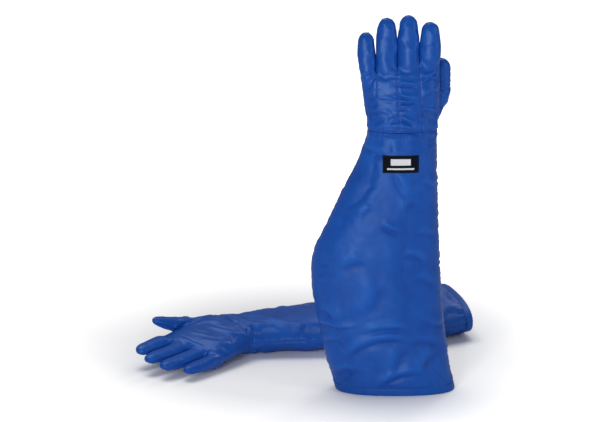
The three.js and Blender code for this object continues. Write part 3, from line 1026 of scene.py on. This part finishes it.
def tone_and_fold_shade_group():
    """Uneven tone of the cloth: broad clouds and small crumples, with painted shade in the fold
    valleys and painted highlight on the fold ridges.
    """
    tree, given, result = new_group(
        "tone_and_fold_shade_cloth", {"Place": "Vector", "Relief": "Float"},
        {"Tone": "Float", "Crumple": "Float"})
    cloud = node(tree, "ShaderNodeTexNoise",
                 {"Vector": given["Place"], "Scale": 14.0, "Detail": 3.0}).outputs["Fac"]
    small = node(tree, "ShaderNodeTexNoise", {"Vector": given["Place"], "Scale": 95.0,
                                              "Detail": 3.0, "Distortion": 0.6}).outputs["Fac"]
    # painted shade and painted highlight: the relief darkens the fold valleys and lightens the
    # fold ridges
    tone = math_node(tree, "ADD", math_node(tree, "MULTIPLY", cloud, 0.8),
                     math_node(tree, "MULTIPLY", given["Relief"], 0.16))
    tone = math_node(tree, "ADD", tone, math_node(tree, "MULTIPLY", small, 0.25))
    clean = node(tree, "ShaderNodeClamp", {"Value": tone})
    wired(tree, result, {"Tone": clean.outputs[0], "Crumple": small})
    return tree


WEAVE = weave_group()
TONE_AND_FOLD_SHADE = tone_and_fold_shade_group()


def new_material(name):
    """A material with its node tree and its surface node."""
    material = bpy.data.materials.new(name)
    material.use_nodes = True
    return material, material.node_tree, material.node_tree.nodes["Principled BSDF"]


def mixed(tree, factor, dark, light):
    """A colour between dark and light, which are sockets or (r, g, b)."""
    dark, light = ((*c, 1) if isinstance(c, tuple) else c for c in (dark, light))
    return node(tree, "ShaderNodeMix", {"Factor": factor, "A": dark, "B": light},
                data_type="RGBA").outputs["Result"]


def cloth(name, dark, light, rough, threads, weave_depth, crumple_depth, sheen=0.0, coat=0.0):
    """A woven fabric on its own place attribute."""
    material, tree, skin = new_material(name)
    place = node(tree, "ShaderNodeAttribute", attribute_name="cloth_place").outputs["Vector"]
    # relief is the fold height, which the tone turns into painted shade in the valleys and painted
    # highlight on the ridges
    relief = node(tree, "ShaderNodeAttribute", attribute_name="relief").outputs["Fac"]
    weave = node(tree, "ShaderNodeGroup", {"Place": place, "Threads per metre": threads},
                 node_tree=WEAVE)
    tone_and_fold_shade = node(tree, "ShaderNodeGroup", {"Place": place, "Relief": relief},
                   node_tree=TONE_AND_FOLD_SHADE)
    tone = math_node(tree, "ADD", tone_and_fold_shade.outputs["Tone"],
                     math_node(tree, "MULTIPLY", weave.outputs["Slub"], 0.2))
    low, high = rough
    roughness = node(tree, "ShaderNodeMapRange", {"Value": tone_and_fold_shade.outputs["Crumple"],
                                                  "To Min": low, "To Max": high})
    # the sleeve is duller than the hand
    spot = node(tree, "ShaderNodeSeparateXYZ", {"Vector": place})
    sleeve = node(tree, "ShaderNodeMapRange", {"Value": spot.outputs["Z"], "From Min": 0.40,
                                               "From Max": 0.52, "To Min": 0.13, "To Max": 0.0})
    crumple = node(tree, "ShaderNodeBump", {"Height": tone_and_fold_shade.outputs["Crumple"],
                                            "Strength": 0.7, "Distance": crumple_depth})
    threads_bump = node(tree, "ShaderNodeBump", {
        "Height": weave.outputs["Height"], "Normal": crumple.outputs["Normal"],
        "Strength": 0.35, "Distance": weave_depth})
    wired(tree, skin, {
        "Base Color": mixed(tree, tone, dark, light),
        "Roughness": math_node(tree, "ADD", roughness.outputs[0], sleeve.outputs[0]),
        "Normal": threads_bump.outputs["Normal"],
        "Specular IOR Level": 0.3, "Specular Tint": (0.55, 0.80, 1.0, 1)})
    if sheen:
        wired(tree, skin, {"Sheen Weight": sheen, "Sheen Roughness": 0.4,
                           "Sheen Tint": (0.6, 0.75, 1.0, 1)})
    if coat:
        wired(tree, skin, {"Coat Weight": coat, "Coat Tint": (0.6, 0.85, 1.0, 1),
                           "Coat Roughness": 0.32})
    return material


def label_cloth():
    """Black damask with a plain light bar and a thin line under it, in satin stitch."""
    material, tree, skin = new_material("woven_label")
    place = node(tree, "ShaderNodeUVMap", uv_map="weave").outputs["UV"]
    parts = node(tree, "ShaderNodeSeparateXYZ", {"Vector": place})

    def band(value, middle, half, soft):
        off = math_node(tree, "ABSOLUTE", math_node(tree, "SUBTRACT", value, middle), 0.0)
        return node(tree, "ShaderNodeMapRange", {
            "Value": off, "From Min": half, "From Max": half + soft, "To Min": 1.0,
            "To Max": 0.0}).outputs[0]

    def block(middle, half):
        return math_node(tree, "MULTIPLY",
                         band(parts.outputs["X"], middle[0], half[0], 0.012),
                         band(parts.outputs["Y"], middle[1], half[1], 0.024))

    def ribs(scale, way):
        return node(tree, "ShaderNodeTexWave", {"Vector": place, "Scale": scale},
                    bands_direction=way).outputs["Fac"]

    bar, line = block((0.5, 0.62), (0.27, 0.17)), block((0.5, 0.23), (0.37, 0.035))
    marks = math_node(tree, "ADD", bar, line)
    threads = ribs(34.0, "Y")
    both = math_node(tree, "MULTIPLY", threads, ribs(48.0, "X"))
    black = mixed(tree, both, (0.002, 0.0035, 0.008), (0.008, 0.012, 0.021))
    white = mixed(tree, threads, (0.55, 0.57, 0.62), (0.86, 0.87, 0.90))
    bump = node(tree, "ShaderNodeBump", {"Height": math_node(tree, "ADD", both, marks),
                                         "Strength": 0.5, "Distance": 0.0003})
    wired(tree, skin, {"Base Color": mixed(tree, marks, black, white),
                       "Normal": bump.outputs["Normal"], "Roughness": 0.85,
                       "Specular IOR Level": 0.08})
    return material


SHELL = cloth("coated_satin_nylon", (0.002, 0.036, 0.255), (0.008, 0.084, 0.410), (0.28, 0.42),
              1500, 0.00006, 0.0007, coat=0.04)
TAPE = cloth("hem_tape_satin", (0.002, 0.036, 0.250), (0.008, 0.082, 0.395), (0.30, 0.44),
             1300, 0.00008, 0.0005, coat=0.04)
LINING = cloth("brushed_lining", (0.30, 0.34, 0.42), (0.52, 0.56, 0.62), (0.82, 0.95),
               900, 0.0002, 0.0012, sheen=0.4)
THREAD = cloth("sewing_thread", (0.020, 0.070, 0.320), (0.050, 0.130, 0.480), (0.45, 0.6),
               2500, 0.0001, 0.0001)
LABEL_THREAD = cloth("label_thread", (0.004, 0.006, 0.012), (0.02, 0.025, 0.04), (0.5, 0.65),
                     2500, 0.0001, 0.0001)
LABEL_CLOTH = label_cloth()
STITCHES = stitch_tree()


# ---------------------------------------------------------------- making the pair

def make_glove(side, lies):
    skin = Skin(side, lies)

    def name(part):
        return f"{side}_{part}"

    elbow = (name("lower_sleeve"), name("forearm"),
             bend_line(lies, ELBOW_Z, ELBOW_REACH, float(section_at(lies, ELBOW_Z)[0])))
    wrist = (name("forearm"), name("hand"), bend_line(lies, WRIST_Z, WRIST_REACH, 5 * MM))

    def crosses(piece):
        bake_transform(piece)

    covers = skin.covers(SHELL)
    plies = ("shell", "insulation")
    swaps = {
        "sleeve": [name(f"lower_sleeve_{p}") for p in plies] + [name("elbow_section")],
        "forearm_cover": [name(f"forearm_sleeve_{p}") for p in plies] + [name("wrist_section")],
        "hand_cover": [name(f"hand_{p}") for p in plies],
    }
    for digit in skin.digits:
        swaps[f"{digit.name}_cover"] = [name(f"{digit.name}_shell"), name(f"{digit.name}_liner")]
    for cover, piece in covers.items():
        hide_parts(*swaps[cover])
        if cover == "sleeve":
            crosses(piece)
        elif cover in ("forearm_cover", "hand_cover"):
            crosses(piece)
    for digit in skin.digits:
        cut = THUMB_CUT if digit.is_thumb else FINGER_CUT
        start, end = digit_line(skin, digit, cut + 1.2 * MM, cut + 20 * MM)
        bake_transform(covers[f"{digit.name}_cover"])

    tape = hem_tape(side, lies, TAPE)
    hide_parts(name("hem_binding"))
    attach(tape, name("lower_sleeve"))

    lower = lining_tube(side, "sleeve_lining", lies, 2.6, 352, False, LINING)
    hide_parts(name("lower_sleeve_lining"))
    crosses(lower)
    upper = lining_tube(side, "hand_lining", lies, 352, 538, True, LINING)
    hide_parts(name("forearm_sleeve_lining"), name("hand_lining"))
    crosses(upper)

    label = patch(skin, LABEL_CLOTH)
    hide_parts(name("label"))
    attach(label, name("forearm"))

    def sides(low, high):
        return [line_beside(skin, edge, low, high) for edge in (-1, 1)]

    rows = {
        "hem_stitches": ([line_round(skin, HEM_STITCH_Z + 2.6 * MM)], None),
        "wrist_stitches": ([line_round(skin, WRIST_SEAM_Z + off * MM) for off in (-3.2, 3.2)],
                           wrist),
        "back_seam_stitches": ([line_up(skin, seam, off * MM)
                                for seam in BACK_SEAMS for off in (-2.2, 2.2)], wrist),
        "sleeve_side_stitches": (sides(18 * MM, FOREARM_CUT_Z), elbow),
        "forearm_side_stitches": (sides(FOREARM_CUT_Z, 452 * MM), wrist),
    }
    for row, (lines, joint) in rows.items():
        threads = stitched(name(row), lines, 4.2 * MM, 3.0 * MM, 0.42 * MM, THREAD)
        if joint:
            crosses(threads)
        else:
            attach(threads, name("lower_sleeve"))
    threads = stitched(name("label_stitches"), [label_edge(skin)], 2.6 * MM, 2.0 * MM, 0.3 * MM,
                       LABEL_THREAD)
    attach(threads, name("forearm"))


def bend_line(lies, level, reach, x):
    """Start and end of a soft bend, through the middle of the glove's depth."""
    y = float(section_at(lies, level)[1])
    return tuple(tuple(settled([np.array([x, y, z])], lies)[0])
                 for z in (level - reach, level + reach))


def digit_line(skin, digit, low, high):
    """Start and end of a digit's bend, square to its root."""
    turn = THUMB_SPREAD if skin.lies else 0.0
    ahead = np.array([math.sin(turn), 0, math.cos(turn)] if digit.is_thumb
                     else [-KNUCKLE_SLOPE, 0, 1])
    ahead = ahead / np.linalg.norm(ahead)
    root = np.array([digit.middle, digit.y, digit.root])
    ends = settled([root + ahead * low, root + ahead * high], skin.lies)
    return tuple(ends[0]), tuple(ends[1])


def label_edge(skin):
    """A closed line just inside the label's edge."""
    wide, high = (LABEL_SIZE[0] - 3 * MM) / 2, (LABEL_SIZE[1] - 3 * MM) / 2
    x0, z0 = LABEL_MIDDLE
    corners = [(-wide, -high), (wide, -high), (wide, high), (-wide, high), (-wide, -high)]
    line = []
    for (xa, za), (xb, zb) in zip(corners, corners[1:]):
        for t in np.linspace(0, 1, 16, endpoint=False):
            x, z = x0 + xa + (xb - xa) * t, z0 + za + (zb - za) * t
            spot, _ = skin.on_skin((x, -0.2, z), (0, 1, 0))
            line.append((x, spot.y - 1.15 * MM, z))
    line.append(line[0])
    return settled(line, skin.lies)


scene = bpy.context.scene
view = set_all(bpy.data.cameras.new("camera"), lens=134.4, sensor_width=36.0, clip_end=60.0)
camera = set_all(added("camera", view), location=(-0.0111, -3.893, 1.3035),
                 rotation_euler=(math.radians(75), 0, 0))
scene.camera = camera

make_glove("left", False)
make_glove("right", True)


# ---------------------------------------------------------------- floor and light

def make_floor():
    """A pale floor that the camera sees lighter than the gloves do, with painted shade round the
    gloves.
    """
    size = 14.0
    floor = make_object("floor", [(-size, -size, 0), (size, -size, 0), (size, size, 0),
                                  (-size, size, 0)], [(0, 1, 2, 3)])
    material, tree, plastic = new_material("pale_floor")
    tree.nodes.remove(plastic)
    paper = node(tree, "ShaderNodeBsdfDiffuse", {"Color": (0.80, 0.80, 0.81, 1)})
    path = node(tree, "ShaderNodeLightPath")
    place = node(tree, "ShaderNodeTexCoord")
    away = node(tree, "ShaderNodeVectorMath", {0: place.outputs["Object"]}, operation="LENGTH")
    # painted shade: the camera-only lift is small near the gloves and grows away from them, so the
    # floor round them reads darker
    shade_painted_near_gloves = node(tree, "ShaderNodeMapRange", {"Value": away.outputs["Value"], "From Min": 0.27,
                                              "From Max": 0.68, "To Min": 0.22, "To Max": 1.2})
    extra = math_node(tree, "MULTIPLY", shade_painted_near_gloves.outputs[0], path.outputs["Is Camera Ray"])
    lighter = node(tree, "ShaderNodeBsdfDiffuse", {"Color": extra})
    both = node(tree, "ShaderNodeAddShader", {0: paper.outputs[0], 1: lighter.outputs[0]})
    wired(tree, tree.nodes["Material Output"], {"Surface": both.outputs[0]})
    floor.data.materials.append(material)


def make_world():
    """Soft light from all round, plain white to the camera."""
    world = bpy.data.worlds.new("studio")
    world.use_nodes = True
    tree = world.node_tree
    path = node(tree, "ShaderNodeLightPath")
    strength = node(tree, "ShaderNodeMapRange", {"Value": path.outputs["Is Camera Ray"],
                                                 "To Min": 0.21, "To Max": 1.0})
    wired(tree, tree.nodes["Background"], {"Strength": strength.outputs[0],
                                           "Color": (1, 1, 1, 1)})
    scene.world = world


def lamp(name, kind, place, aim, energy, size=None, angle=None):
    light = set_all(bpy.data.lights.new(name, kind), energy=energy)
    if size:
        set_all(light, shape="RECTANGLE", size=size[0], size_y=size[1])
    if angle:
        light.angle = math.radians(angle)
    turned = (Vector(aim) - Vector(place)).to_track_quat("-Z", "Y").to_euler()
    set_all(added(name, light), location=place, rotation_euler=turned)


make_floor()
make_world()
lamp("overhead", "SUN", (-0.5, 0.75, 3.0), (0, 0, 0.2), 1.15, angle=40)
lamp("front_window", "AREA", (-0.9, -2.8, 1.0), (0.05, 0, 0.35), 25, size=(0.5, 1.3))
lamp("low_strip", "AREA", (-0.25, -2.6, 0.32), (0.0, 0, 0.5), 12, size=(0.10, 0.6))
lamp("side_window", "AREA", (2.2, -1.4, 1.2), (0.05, 0, 0.3), 10, size=(0.6, 1.4))
lamp("rear_window", "AREA", (1.2, 2.4, 2.0), (0, 0, 0.3), 13, size=(0.8, 1.2))
scene.view_settings.view_transform = "Standard"
